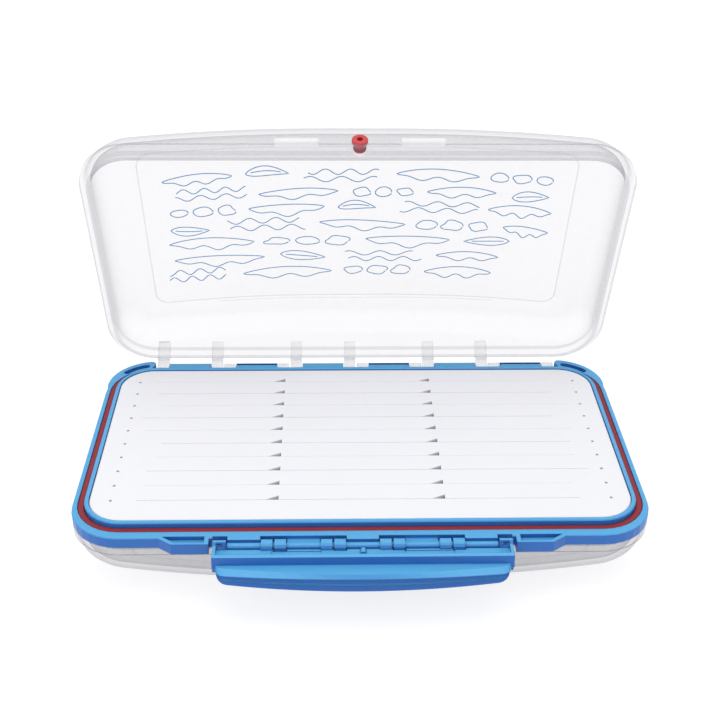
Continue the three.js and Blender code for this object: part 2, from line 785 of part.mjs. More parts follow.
const gasketGeometry = geometryOf(gasket());
const foamGeometry = geometryOf(slitFoam());
const lidGeometry = geometryOf(lidShell());
const ventGeometry = geometryOf(ventPlug());
const latchGeometry = geometryOf(latch());

// One side of the box: its seal, foam, lid, vent plug and latch
function boxSide(label, lidOpening, latchOpening) {
  const side = new THREE.Group();
  side.add(
    named(`gasket_${label}`, gasketGeometry, redSilicone),
    named(`foam_${label}`, foamGeometry, whiteFoam),
    turning(named(`lid_${label}`, lidGeometry, clearPlastic), hingeY, -lidOpening, false),
    turning(named(`vent_plug_${label}`, ventGeometry, redSilicone), hingeY, -lidOpening, false),
    turning(named(`latch_${label}`, latchGeometry, bluePlastic), railY, latchOpening, true),
  );
  return side;
}

const box = new THREE.Group();
const bottomSide = boxSide('bottom', 0, bottomLatchOpening);
bottomSide.rotation.y = Math.PI;
box.add(
  named('middle_frame', geometryOf(middleFrame()), bluePlastic),
  boxSide('top', topLidOpening, topLatchOpening),
  bottomSide,
);
box.position.z = middleHeight;

export default box;
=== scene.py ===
"""Looks of the double-sided fly box: clear lids, slit foams, blue mouldings, red seals and the printed lines.

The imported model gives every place. This script adds the fine meshes and the procedural finishes.
"""
import json
import math
import random

import bmesh
import bpy
from mathutils import Matrix, Vector


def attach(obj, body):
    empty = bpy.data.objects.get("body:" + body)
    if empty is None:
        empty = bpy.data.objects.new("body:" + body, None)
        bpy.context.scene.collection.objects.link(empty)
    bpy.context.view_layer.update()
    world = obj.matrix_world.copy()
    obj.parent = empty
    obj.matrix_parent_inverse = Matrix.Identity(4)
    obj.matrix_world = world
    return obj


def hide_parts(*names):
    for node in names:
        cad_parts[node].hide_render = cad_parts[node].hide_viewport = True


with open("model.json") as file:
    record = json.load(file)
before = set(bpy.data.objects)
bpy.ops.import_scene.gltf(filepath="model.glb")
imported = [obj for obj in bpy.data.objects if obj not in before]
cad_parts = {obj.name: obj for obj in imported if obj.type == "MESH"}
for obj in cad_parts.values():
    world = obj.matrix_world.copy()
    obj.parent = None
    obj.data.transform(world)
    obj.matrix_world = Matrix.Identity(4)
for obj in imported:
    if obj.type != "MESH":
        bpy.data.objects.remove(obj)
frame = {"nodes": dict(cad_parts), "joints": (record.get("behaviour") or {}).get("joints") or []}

bl_info = {
    "name": "Fly box",
    "version": (1, 0, 0),
    "blender": (4, 5, 0),
    "location": "View3D > Sidebar > Fly box",
    "description": "Builds the clear lids, foams, prints and finishes of a double-sided fly box",
    "category": "Add Mesh",
}

MM = 0.001
WHITE = (1.0, 1.0, 1.0)
JOINTS = {joint["name"]: joint for joint in frame["joints"]}
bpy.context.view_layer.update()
HINGE = Vector(JOINTS["top_lid_hinge"]["pos_m"])
TOP_LID_OPENING = math.radians(JOINTS["top_lid_hinge"]["range_deg"][1])
SIDES = ("top", "bottom")
SLOTS = 3
SHELL, RIM, LUMP = range(SLOTS)
CORNER_STEPS = 20
EDGE_STEPS = 10
STATION_STEPS = 40
STATIONS = [2 * i / STATION_STEPS - 1 for i in range(STATION_STEPS + 1)]


class LidSizes(bpy.types.PropertyGroup):
    """Sizes of one clear lid, as it lies on the frame"""

    length: bpy.props.FloatProperty(
        name="Length", description="Length along the box", default=208 * MM, unit="LENGTH")
    depth: bpy.props.FloatProperty(
        name="Depth", description="Depth from latch to hinge", default=113 * MM, unit="LENGTH")
    corner: bpy.props.FloatProperty(
        name="Corner", description="Radius of the outline's corners", default=19 * MM, unit="LENGTH")
    foot: bpy.props.FloatProperty(
        name="Foot", description="Height of the rim above the frame's middle", default=2.5 * MM,
        unit="LENGTH")
    flange: bpy.props.FloatProperty(
        name="Flange", description="Height of the flange's upper edge", default=5.4 * MM, unit="LENGTH")
    crown: bpy.props.FloatProperty(
        name="Crown", description="Height of the face in the middle", default=23 * MM, unit="LENGTH")
    flat: bpy.props.FloatProperty(
        name="Flat", description="Half width of the face's flat middle", default=14 * MM, unit="LENGTH")
    arch: bpy.props.FloatProperty(
        name="Arch", description="Radius of the face towards its ends", default=460 * MM, unit="LENGTH")
    edge: bpy.props.FloatProperty(
        name="Edge", description="Radius between wall and face", default=9.5 * MM, unit="LENGTH")
    wall: bpy.props.FloatProperty(
        name="Wall", description="Thickness of the shell", default=2 * MM, unit="LENGTH")
    panel: bpy.props.FloatProperty(
        name="Panel", description="How far the face's panel stands proud", default=0.3 * MM, unit="LENGTH")
    shift: bpy.props.FloatProperty(
        name="Seal shift", description="How far the seal line sits towards the hinge", default=1.8 * MM,
        unit="LENGTH")


class FoamSizes(bpy.types.PropertyGroup):
    """Sizes of one slit foam"""

    inset: bpy.props.FloatProperty(
        name="Inset", description="From the box's outline to the foam", default=6.05 * MM, unit="LENGTH")
    floor: bpy.props.FloatProperty(
        name="Floor", description="Underside above the frame's middle", default=0.9 * MM, unit="LENGTH")
    top: bpy.props.FloatProperty(
        name="Top", description="Upper face above the frame's middle", default=3.95 * MM, unit="LENGTH")
    rows: bpy.props.IntProperty(name="Rows", description="Number of slits", default=10)
    pitch: bpy.props.FloatProperty(
        name="Pitch", description="Distance between slits", default=8.9 * MM, unit="LENGTH")
    offset: bpy.props.FloatProperty(
        name="Offset", description="How far the rows sit towards the hinge", default=1 * MM, unit="LENGTH")
    aside: bpy.props.FloatProperty(
        name="Aside", description="How far the slits sit along the box", default=0.2 * MM, unit="LENGTH")
    slit: bpy.props.FloatProperty(
        name="Slit", description="Length of a slit", default=180.8 * MM, unit="LENGTH")
    notch: bpy.props.FloatProperty(
        name="Notch", description="Length of a thread notch", default=5 * MM, unit="LENGTH")


class BoxColours(bpy.types.PropertyGroup):
    """Colours of the box's finishes"""

    # The two blues below are one plastic in a shaded and a lit copy: painted light, with the lighter copy
    # painted on faces that look up.
    blue: bpy.props.FloatVectorProperty(
        name="Blue", description="Moulded frame and latches, on upright faces", subtype="COLOR", size=3,
        default=(0.019, 0.13, 0.44))
    painted_top_light_blue: bpy.props.FloatVectorProperty(
        name="Sky blue", description="Moulded frame and latches, on faces that look up", subtype="COLOR",
        size=3, default=(0.075, 0.35, 0.64))
    clear: bpy.props.FloatVectorProperty(
        name="Clear", description="Tint of the lids", subtype="COLOR", size=3,
        default=(0.39, 0.40, 0.44))
    lump: bpy.props.FloatVectorProperty(
        name="Lump", description="Tint of the lids' arms and lugs", subtype="COLOR", size=3,
        default=(0.90, 0.90, 0.91))
    rim: bpy.props.FloatVectorProperty(
        name="Rim", description="Tint of the lids' thick rims", subtype="COLOR", size=3,
        default=(0.26, 0.28, 0.34))
    red: bpy.props.FloatVectorProperty(
        name="Red", description="Silicone seals", subtype="COLOR", size=3,
        default=(0.24, 0.015, 0.023))
    plug: bpy.props.FloatVectorProperty(
        name="Plug", description="Silicone vent plugs", subtype="COLOR", size=3,
        default=(0.50, 0.045, 0.05))
    foam: bpy.props.FloatVectorProperty(
        name="Foam", description="Slit foam", subtype="COLOR", size=3, default=(0.725, 0.728, 0.76))
    ink: bpy.props.FloatVectorProperty(
        name="Ink", description="Printed lines", subtype="COLOR", size=3, default=(0.07, 0.29, 0.56))
    floor: bpy.props.FloatVectorProperty(
        name="Floor", description="Ground under the box", subtype="COLOR", size=3,
        default=(0.33, 0.33, 0.34))


class Socket:
    """A shader value that Python arithmetic can be written with."""

    def __init__(self, finish, output):
        self.finish = finish
        self.output = output

    def math(self, operation, *values):
        return self.finish.node("ShaderNodeMath", {"operation": operation}, *values)

    def __add__(self, other):
        return self.math("ADD", self, other)

    __radd__ = __add__

    def __sub__(self, other):
        return self.math("SUBTRACT", self, other)

    def __mul__(self, other):
        return self.math("MULTIPLY", self, other)

    __rmul__ = __mul__

    def __abs__(self):
        return self.math("ABSOLUTE", self)


class Finish:
    """One procedural material, built node by node."""

    def __init__(self, name):
        self.material = bpy.data.materials.new(name)
        self.material.use_nodes = True
        self.nodes = self.material.node_tree.nodes
        self.links = self.material.node_tree.links
        self.nodes.clear()

    def node(self, kind, settings=None, *values, output=0, **named):
        """Adds a node: its settings first, then its sockets by place or by name. Returns one output."""
        made = self.nodes.new(kind)
        for key, value in (settings or {}).items():
            setattr(made, key, value)
        sockets = list(zip(made.inputs, values))
        sockets += [(made.inputs[key.replace("_", " ")], value) for key, value in named.items()]
        for socket, value in sockets:
            if isinstance(value, Socket):
                self.links.new(value.output, socket)
            else:
                socket.default_value = value
        return Socket(self, made.outputs[output]) if made.outputs else None

    def mix(self, factor, first, second):
        """Mixes two colours, each a tuple or a socket."""
        made = self.nodes.new("ShaderNodeMix")
        made.data_type = "RGBA"
        for index, value in ((0, factor), (6, first), (7, second)):
            if isinstance(value, Socket):
                self.links.new(value.output, made.inputs[index])
            else:
                made.inputs[index].default_value = value
        return Socket(self, made.outputs[2])

    def noise(self, scale, detail=2.0):
        place = self.node("ShaderNodeTexCoord", None, output=3)
        return self.node("ShaderNodeTexNoise", None, Vector=place, Scale=scale, Detail=detail)

    def bump(self, height, distance, normal=None):
        named = {"Height": height, "Distance": distance}
        if normal is not None:
            named["Normal"] = normal
        return self.node("ShaderNodeBump", None, **named)

    def surface(self, shader):
        self.node("ShaderNodeOutputMaterial", None, Surface=shader)
        return self.material


def rgba(colour, share=1.0):
    return tuple(min(channel * share, 1.0) for channel in colour) + (1.0,)


def moulded_blue(colours):
    """Satin moulded plastic, softened edges, a faint drift of colour, and painted top light: a lighter blue
    on upward faces.
    """
    finish = Finish("moulded_blue")
    drift = finish.noise(60.0)
    grain = finish.noise(2600.0, 3.0)
    edges = finish.node("ShaderNodeBevel", {"samples": 6}, Radius=0.5 * MM)
    # Painted light: upward faces are mixed towards the lighter blue, as if lit from above; upright and
    # downward faces keep the darker one.
    outward = finish.node("ShaderNodeNewGeometry", None, output=1)
    painted_top_light = finish.node("ShaderNodeMapRange", {"interpolation_type": "SMOOTHSTEP"},
                           finish.node("ShaderNodeSeparateXYZ", None, outward, output=2), 0.3, 1.0, 0.0, 1.0)
    colour = finish.mix(painted_top_light, rgba(colours.blue), rgba(colours.painted_top_light_blue))
    faded = rgba(WHITE, 0.3)
    shader = finish.node(
        "ShaderNodeBsdfPrincipled", None,
        Base_Color=finish.mix(0.06 * drift, colour, faded),
        Roughness=0.26 + 0.12 * grain,
        Normal=finish.bump(grain, 0.006 * MM, edges),
        IOR=1.53,
    )
    principled = finish.nodes["Principled BSDF"]
    principled.inputs["Specular IOR Level"].default_value = 0.25
    principled.inputs["Subsurface Weight"].default_value = 0.25
    principled.inputs["Subsurface Radius"].default_value = (0.05, 0.35, 1.0)
    principled.inputs["Subsurface Scale"].default_value = 1.5 * MM
    return finish.surface(shader)


def clear_shell(colour, name="clear_shell", thickness=0.06):
    """Clear polished plastic: see-through face on, greyer and glossier where it is seen edge on."""
    finish = Finish(name)
    ripple = finish.noise(45.0)
    haze = finish.noise(300.0, 3.0)
    facing = finish.node("ShaderNodeLayerWeight", None, Blend=0.35, output=1)
    skin = finish.node(
        "ShaderNodeBsdfPrincipled", None,
        Base_Color=finish.mix(ripple, rgba(colour, 0.94), rgba(colour)),
        Roughness=0.03 + 0.04 * haze,
        Normal=finish.bump(ripple, 0.05 * MM),
        IOR=1.49,
    )
    clear = finish.node("ShaderNodeBsdfTransparent", None, Color=(0.962, 0.957, 0.958, 1.0))
    cover = thickness + 0.03 * haze + 0.8 * facing * facing
    return finish.surface(finish.node("ShaderNodeMixShader", None, cover, clear, skin))


def clear_rim(colour):
    """The same plastic where the rim is thickest; on the panel's sloped border it is a painted shade line."""
    return clear_shell(colour, "clear_rim", 0.25)


def clear_lump(colour):
    """The same plastic in thick lumps, which look milky."""
    return clear_shell(colour, "clear_lump", 0.4)


def soft_red(colour, name="soft_red"):
    """Soft matte silicone with fine dust-like grain."""
    finish = Finish(name)
    mottle = finish.noise(220.0, 4.0)
    grain = finish.noise(1800.0, 3.0)
    shader = finish.node(
        "ShaderNodeBsdfPrincipled", None,
        Base_Color=finish.mix(mottle, rgba(colour, 0.85), rgba(colour, 1.15)),
        Roughness=0.45 + 0.2 * grain,
        Normal=finish.bump(grain, 0.02 * MM),
        IOR=1.41,
    )
    finish.nodes["Principled BSDF"].inputs["Subsurface Weight"].default_value = 0.1
    finish.nodes["Principled BSDF"].inputs["Subsurface Scale"].default_value = 1.0 * MM
    return finish.surface(shader)


def plug_red(colour):
    """The same silicone in a lighter red."""
    return soft_red(colour, "plug_red")


def slit_foam_finish(colour):
    """Closed-cell foam: matte and finely pitted, with painted shade that darkens it deeper down in its slits,
    pin holes and notches.
    """
    finish = Finish("slit_foam")
    patches = finish.noise(35.0, 3.0)
    cells = finish.noise(1500.0, 4.0)
    skin = finish.mix(patches, rgba(colour, 0.985), rgba(colour, 1.015))
    # Painted shade: below the foam's top face the colour turns darker with depth, standing in for the shade
    # inside slits, pin holes and notches.
    place = finish.node("ShaderNodeTexCoord", None, output=3)
    height = finish.node("ShaderNodeSeparateXYZ", None, place, output=2)
    depth = finish.node("ShaderNodeMapRange", {"interpolation_type": "SMOOTHSTEP"}, abs(height - HINGE.z),
                        3.9 * MM, 2.85 * MM, 0.0, 1.0)
    shader = finish.node(
        "ShaderNodeBsdfPrincipled", None,
        Base_Color=finish.mix(depth, skin, rgba(colour, 0.8)),
        Roughness=0.8 + 0.15 * cells,
        Normal=finish.bump(cells, 0.05 * MM),
    )
    finish.nodes["Principled BSDF"].inputs["Specular IOR Level"].default_value = 0.3
    return finish.surface(shader)


def printed_ink(colour):
    """Screen-printed ink whose cover varies a little along the lines."""
    finish = Finish("printed_ink")
    cover = finish.noise(700.0, 3.0)
    shader = finish.node(
        "ShaderNodeBsdfPrincipled", None,
        Base_Color=finish.mix(cover, rgba(colour, 0.85), rgba(colour, 1.25)),
        Roughness=0.5 + 0.1 * cover,
    )
    return finish.surface(shader)


def floor_finish(colour):
    finish = Finish("pale_floor")
    cloud = finish.noise(3.0)
    shader = finish.node(
        "ShaderNodeBsdfPrincipled", None,
        Base_Color=finish.mix(cloud, rgba(colour, 0.995), rgba(colour)),
        Roughness=0.75 + 0.05 * cloud,
        Emission_Color=rgba(WHITE),
        Emission_Strength=0.74,
    )
    return finish.surface(shader)


def use_finish(piece, *materials):
    """Fills a piece's material slots in order, and leaves each face its slot."""
    slots = piece.data.materials
    fit_slots(slots, len(materials))
    for i, material in enumerate(materials):
        slots[i] = material


def fit_slots(slots, count):
    while len(slots) > count:
        slots.pop()
    while len(slots) < count:
        slots.append(None)


def material_named(name, maker, colour):
    return bpy.data.materials.get(name) or maker(colour)


def side_place(side, lid=True):
    """Where a piece made on top of the frame goes: the top lid's stands open, the bottom's is turned over."""
    middle = Matrix.Translation((0, 0, HINGE.z))
    if side == "bottom":
        return middle @ Matrix.Rotation(math.pi, 4, "Y")
    if not lid:
        return middle
    to_hinge = Matrix.Translation((0, HINGE.y, 0))
    return middle @ to_hinge @ Matrix.Rotation(-TOP_LID_OPENING, 4, "X") @ to_hinge.inverted()


def add_piece(name, mesh, place, body):
    mesh.transform(place)
    piece = bpy.data.objects.new(name, mesh)
    bpy.context.scene.collection.objects.link(piece)
    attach(piece, body)
    return piece


def arc(centre, radius, start, stop, steps):
    """Points on an arc between two angles in degrees, both ends included."""
    points = []
    for i in range(steps + 1):
        angle = math.radians(start + (stop - start) * i / steps)
        points.append((centre[0] + radius * math.cos(angle), centre[1] + radius * math.sin(angle)))
    return points


def circle(centre, radius, steps=2 * CORNER_STEPS):
    return arc(centre, radius, 0, 360, steps)[:-1]


def rounded_outline(half_x, low_y, high_y, radius, stations, corner_steps):
    """A rounded rectangle whose straight front and rear edges have points at the given shares."""
    inner_x = half_x - radius
    front = [(share * inner_x, low_y) for share in stations]
    rear = [(-share * inner_x, high_y) for share in stations]
    corners = [
        arc((inner_x, low_y + radius), radius, -90, 0, corner_steps),
        arc((inner_x, high_y - radius), radius, 0, 90, corner_steps),
        arc((-inner_x, high_y - radius), radius, 90, 180, corner_steps),
        arc((-inner_x, low_y + radius), radius, 180, 270, corner_steps),
    ]
    return front[:-1] + corners[0] + corners[1][:-1] + rear[:-1] + corners[2] + corners[3][:-1]


def cap_faces(station_count, corner_steps, size):
    """Index lists that close a rounded outline: strips between front and rear, and two rounded ends."""
    last = station_count - 1
    rear_start = last + 2 * corner_steps + 1
    rear_end = rear_start + last
    strips = [(i, i + 1, rear_end - i - 1, rear_end - i) for i in range(last)]
    right = tuple(range(last, rear_start + 1))
    left = tuple(range(rear_end, size)) + (0,)
    return strips + [right, left]


def loft(rings, caps, marked=()):
    """A closed mesh through rings of points, capped at both ends by the same index lists.

    The bands that start at a marked ring are in the rim's material slot.
    """
    mesh = bpy.data.meshes.new("loft")
    size = len(rings[0])
    vertices = [point for ring in rings for point in ring]
    faces = [tuple(reversed(cap)) for cap in caps]
    for level in range(len(rings) - 1):
        low = level * size
        high = low + size
        for i in range(size):
            after = (i + 1) % size
            faces.append((low + i, low + after, high + after, high + i))
    top = (len(rings) - 1) * size
    faces += [tuple(top + i for i in cap) for cap in caps]
    mesh.from_pydata(vertices, [], faces)
    for level in marked:
        start = len(caps) + level * size
        for polygon in mesh.polygons[start:start + size]:
            polygon.material_index = RIM
    return mesh


def prism(axis, start, stop, outline):
    """An outline of (a, b) points pushed from start to stop along x, y or z, as (vertices, faces)."""
    place = {"x": lambda a, b, d: (d, a, b), "y": lambda a, b, d: (a, d, b), "z": lambda a, b, d: (a, b, d)}
    count = len(outline)
    vertices = [place[axis](a, b, d) for d in (start, stop) for a, b in outline]
    faces = [tuple(range(count)), tuple(range(2 * count - 1, count - 1, -1))]
    faces += [(i, i + count, (i + 1) % count + count, (i + 1) % count) for i in range(count)]
    return vertices, faces


def gather(parts, soften=0.0, slot=SHELL):
    """One mesh of several closed parts, facing out, with its edges softened if asked."""
    made = bmesh.new()
    for vertices, faces in parts:
        points = [made.verts.new(vertex) for vertex in vertices]
        for face in faces:
            made.faces.new([points[i] for i in face])
    bmesh.ops.recalc_face_normals(made, faces=made.faces)
    if soften:
        sharp = [edge for edge in made.edges if edge.calc_face_angle(0) > math.radians(40)]
        bmesh.ops.bevel(made, geom=sharp, offset=soften, segments=2, affect="EDGES", clamp_overlap=True)
    mesh = bpy.data.meshes.new("parts")
    made.to_mesh(mesh)
    made.free()
    for polygon in mesh.polygons:
        polygon.material_index = slot
    return mesh


def without_slivers(mesh, closest=0.003 * MM):
    """Joins corners that a boolean step left closer than that, and closes the holes of lost slivers."""
    cleaner = bmesh.new()
    cleaner.from_mesh(mesh)
    bmesh.ops.remove_doubles(cleaner, verts=cleaner.verts, dist=closest)
    bmesh.ops.dissolve_degenerate(cleaner, edges=cleaner.edges, dist=closest)
    bmesh.ops.holes_fill(cleaner, edges=[edge for edge in cleaner.edges if edge.is_boundary], sides=4)
    cleaner.to_mesh(mesh)
    cleaner.free()
    return mesh


def combined(mesh, steps):
    """The mesh after boolean steps of (operation, other mesh), each face in its old material slot."""
    fit_slots(mesh.materials, SLOTS)
    body = bpy.data.objects.new("body", mesh)
    bpy.context.scene.collection.objects.link(body)
    helpers = []
    for operation, other in steps:
        fit_slots(other.materials, SLOTS)
        helper = bpy.data.objects.new("helper", other)
        bpy.context.scene.collection.objects.link(helper)
        modifier = body.modifiers.new(operation, "BOOLEAN")
        modifier.operation = operation
        modifier.object = helper
        modifier.solver = "EXACT"
        modifier.material_mode = "INDEX"
        helpers.append(helper)
    graph = bpy.context.evaluated_depsgraph_get()
    result = bpy.data.meshes.new_from_object(body.evaluated_get(graph))
    for made in (body, *helpers):
        bpy.data.objects.remove(made)
    return without_slivers(result)


def smooth(mesh, degrees=32):
    mesh.shade_smooth()
    mesh.set_sharp_from_angle(angle=math.radians(degrees))
    return mesh


class LidShape:
    """The clear lid's curves, from its sizes, as it lies on top of the frame."""

    def __init__(self, sizes):
        self.sizes = sizes
        self.half_x = sizes.length / 2
        self.half_y = sizes.depth / 2
        self.corner_x = self.half_x - sizes.corner
        self.flange_step = 1.1 * MM
        self.draft = 0.7 * MM
        self.face_corner = sizes.corner - self.flange_step - self.draft - sizes.edge
        arch_facets = 12
        span = self.corner_x - sizes.flat
        self.span = span
        self.end_slope = (span - span / arch_facets) / sizes.arch

    def face(self, x):
        """Height of the arched face at one place along the box."""
        sizes = self.sizes
        reach = min(max(abs(x) - sizes.flat, 0), self.span)
        beyond = min(max(abs(x) - self.corner_x, 0), self.face_corner)
        return sizes.crown - reach ** 2 / (2 * sizes.arch) - beyond * self.end_slope

    def ring(self, inset, height, shift=0.0):
        """The box's outline drawn in by an inset, at a height that may follow the face."""
        outline = rounded_outline(
            self.half_x - inset, inset - self.half_y + shift, self.half_y - inset + shift,
            self.sizes.corner - inset, STATIONS, CORNER_STEPS)
        return [(x, y, height(x) if callable(height) else height) for x, y in outline]

    def edge_rings(self, inset, radius, drop):
        """Rings of the rounded edge between the wall and the face."""
        rings = []
        for i in range(EDGE_STEPS + 1):
            angle = math.pi / 2 * i / EDGE_STEPS
            rise = radius * (1 - math.sin(angle)) + drop
            rings.append(self.ring(
                inset + radius * (1 - math.cos(angle)), lambda x, rise=rise: self.face(x) - rise))
        return rings

    def panel_ring(self, inset, rise):
        """Outline of the raised panel, drawn in by an inset."""
        from_hinge = 18 * MM
        from_latch = 15 * MM
        radius = 6 * MM
        outline = rounded_outline(
            self.corner_x - inset, from_latch - self.half_y + inset, self.half_y - from_hinge - inset,
            radius - inset, STATIONS, CORNER_STEPS)
        return [(x, y, self.face(x) + rise) for x, y in outline]


def lid_skin(shape):
    """The lid's shell as one closed skin, from the inner face round the rim to the outer face."""
    sizes = shape.sizes
    wall_inset = shape.flange_step + shape.draft
    inner = shape.edge_rings(wall_inset + sizes.wall, sizes.edge - sizes.wall, sizes.wall)
    rim_inset = 3.9 * MM
    rib_in = 3.6 * MM
    rib_out = 2.4 * MM
    rib_foot = sizes.foot - 0.3 * MM
    soft = 0.2 * MM
    ledge = 0.4 * MM
    seat = [
        (rim_inset, sizes.flange), (rim_inset, sizes.foot), (rib_in, sizes.foot), (rib_in, rib_foot + soft),
        (rib_in - soft, rib_foot), (rib_out + soft, rib_foot), (rib_out, rib_foot + soft),
        (rib_out, sizes.foot),
    ]
    flange = [
        (soft, sizes.foot), (0, sizes.foot + soft), (0, sizes.flange - soft), (soft, sizes.flange),
        (shape.flange_step - soft, sizes.flange + soft), (shape.flange_step, sizes.flange + 2 * soft),
    ]
    rim = [shape.ring(wall_inset + sizes.wall, sizes.flange + ledge)]
    rim += [shape.ring(inset, height, sizes.shift) for inset, height in seat]
    rim += [shape.ring(inset, height) for inset, height in flange]
    outer = shape.edge_rings(wall_inset, sizes.edge, 0)
    panel = [shape.panel_ring(0, 0), shape.panel_ring(0.45 * MM, sizes.panel * 0.9),
             shape.panel_ring(0.7 * MM, sizes.panel)]
    rings = inner[::-1] + rim + outer + panel
    caps = cap_faces(len(STATIONS), CORNER_STEPS, len(rings[0]))
    ledge_band = len(inner)
    rib_bands = range(ledge_band + 2, ledge_band + 8)
    # The panel's sloped border takes the rim's greyer finish too: a painted shade line, standing in for the
    # light its step bends and reflects.
    panel_band = len(rings) - len(panel)
    return loft(rings, caps, [ledge_band, *rib_bands, panel_band])


def hinge_arms(shape):
    """Six arms and three bars that hold the lid on the frame's barrels."""
    barrel = 17.6 * MM
    pitch = 28.5 * MM
    gap = 0.3 * MM
    arm = 4.9 * MM
    radius = 2.2 * MM
    pin = 1.0 * MM
    rise = 8.3 * MM
    wall_y = shape.half_y - 2 * MM
    foot = shape.sizes.foot + 0.1 * MM
    profile = [(wall_y, foot), (HINGE.y - radius, foot)]
    profile += arc((HINGE.y, 0), radius, 180, 360, CORNER_STEPS)
    profile += [(HINGE.y + radius, foot), (shape.half_y - shape.flange_step, foot + rise),
                (wall_y, foot + rise)]
    parts = []
    for place in (-2.5, -0.5, 1.5):
        centre = place * pitch
        inner = barrel / 2 + gap
        parts.append(prism("x", centre + inner, centre + inner + arm, profile))
        parts.append(prism("x", centre - inner - arm, centre - inner, profile))
        bar = inner + arm / 2
        parts.append(prism("x", centre - bar, centre + bar, circle((HINGE.y, 0), pin)))
    return parts


def catch_lugs(shape):
    spacing = 46 * MM
    width = 16 * MM
    reach = 2.3 * MM
    foot = 3.0 * MM
    height = 2.6 * MM
    parts = []
    front = -shape.half_y - reach
    rear = -shape.half_y + shape.flange_step / 2
    for centre in (-spacing / 2, spacing / 2):
        left = centre - width / 2
        right = centre + width / 2
        outline = [(left, front), (right, front), (right, rear), (left, rear)]
        parts.append(prism("z", foot, foot + height, outline))
    return parts


def vent_cuts(shape):
    """The relief for the plug's head and the hole for its neck, through the front wall."""
    centre = (0, 7.6 * MM)
    seat = -shape.half_y + 1.35 * MM
    inside = seat + 5 * MM
    head_radius = 3.3 * MM
    neck_radius = 2.0 * MM
    bulb_radius = 2.8 * MM
    return [
        prism("y", start, stop, circle(centre, radius))
        for start, stop, radius in (
            (-shape.half_y - 2 * MM, seat, head_radius),
            (seat - MM, inside, neck_radius),
            (seat + 2.45 * MM, inside, bulb_radius),
        )
    ]


def inner_strip(shape):
    """A low strip on the inside of the face, by the panel's border on the hinge side."""
    half = 58 * MM
    steps = 24
    y = shape.half_y - 20 * MM
    points = [(half * (2 * i / steps - 1), y) for i in range(steps + 1)]

    def surface(x):
        inside = shape.face(x) - shape.sizes.wall
        return inside - 0.3 * MM, inside + 0.2 * MM

    return ribbon(points, 2.4 * MM, surface)


def lid_mesh(shape):
    soft = 0.25 * MM
    joined = [
        ("UNION", gather(catch_lugs(shape), soft, LUMP)),
        ("UNION", gather(hinge_arms(shape), slot=LUMP)),
        ("UNION", gather([inner_strip(shape)])),
    ]
    cuts = [("DIFFERENCE", gather([part])) for part in vent_cuts(shape)]
    return smooth(combined(lid_skin(shape), joined + cuts))


def foam_mesh(sizes, lid):
    """A foam pad with its slits, pin holes and sloped thread notches."""
    half_x = lid.length / 2 - sizes.inset
    half_y = lid.depth / 2 - sizes.inset
    corner = lid.corner - sizes.inset
    soft = 0.7 * MM
    steps = 5

    def ring(inset, height):
        outline = rounded_outline(half_x - inset, inset - half_y + lid.shift, half_y - inset + lid.shift,
                                  corner - inset, (-1, 1), CORNER_STEPS)
        return [(x, y, height) for x, y in outline]

    rings = [ring(0, sizes.floor)]
    for i in range(steps + 1):
        angle = math.pi / 2 * i / steps
        rings.append(ring(soft * (1 - math.cos(angle)), sizes.top - soft * (1 - math.sin(angle))))
    body = loft(rings, cap_faces(2, CORNER_STEPS, len(rings[0])))
    above = sizes.top + MM
    slit_floor = sizes.top - 1.2 * MM
    hole_radius = 0.6 * MM
    hole_steps = 12
    slit_halves = (0.04 * MM, 0.085 * MM)
    notch_tip = sizes.top - 0.02 * MM
    notch_width = 2.5 * MM
    notch_floor = sizes.top - 2.4 * MM
    draw = random.Random(3)
    slits = []
    holes = []
    notches = []
    for row in range(sizes.rows):
        y = lid.shift + sizes.offset + ((sizes.rows - 1) / 2 - row) * sizes.pitch
        slit_half = slit_halves[row % 2]
        ends = [sizes.aside + side * sizes.slit / 2 for side in (-1, 1)]
        shut = [draw.uniform(4, 14) * MM for _ in ends]
        slits.append(prism("x", ends[0] + shut[0], ends[1] - shut[1], [
            (y, slit_floor), (y + slit_half, sizes.top), (y + slit_half, above),
            (y - slit_half, above), (y - slit_half, sizes.top)]))
        for x in ends:
            holes.append(prism("z", slit_floor, above, circle((x, y), hole_radius, hole_steps)))
        for x in (sizes.aside - sizes.slit / 6, sizes.aside + sizes.slit / 6):
            tip = x - sizes.notch
            vertices = [(tip, y, notch_tip), (x, y, notch_floor), (x, y + notch_width, notch_floor),
                        (tip, y, above), (x, y, above), (x, y + notch_width, above)]
            faces = [(0, 2, 1), (3, 4, 5), (0, 1, 4, 3), (1, 2, 5, 4), (2, 0, 3, 5)]
            notches.append((vertices, faces))
    mesh = combined(body, [("DIFFERENCE", gather(group)) for group in (slits, holes, notches)])
    return smooth(mesh)


def ribbon(points, width, surface):
    """A thin closed strip along points of (x, y), laid on a surface that gives the height."""
    vertices = []
    faces = []
    count = len(points)
    for i, (x, y) in enumerate(points):
        before = points[max(i - 1, 0)]
        after = points[min(i + 1, count - 1)]
        along = Vector((after[0] - before[0], after[1] - before[1])).normalized()
        side = Vector((-along.y, along.x)) * width / 2
        low, high = surface(x)
        for sign, height in ((-1, low), (1, low), (1, high), (-1, high)):
            vertices.append((x + sign * side.x, y + sign * side.y, height))
    for i in range(count - 1):
        a = 4 * i
        b = a + 4
        for k in range(4):
            n = (k + 1) % 4
            faces.append((a + k, a + n, b + n, b + k))
    faces += [(3, 2, 1, 0), tuple(4 * (count - 1) + k for k in range(4))]
    return vertices, faces


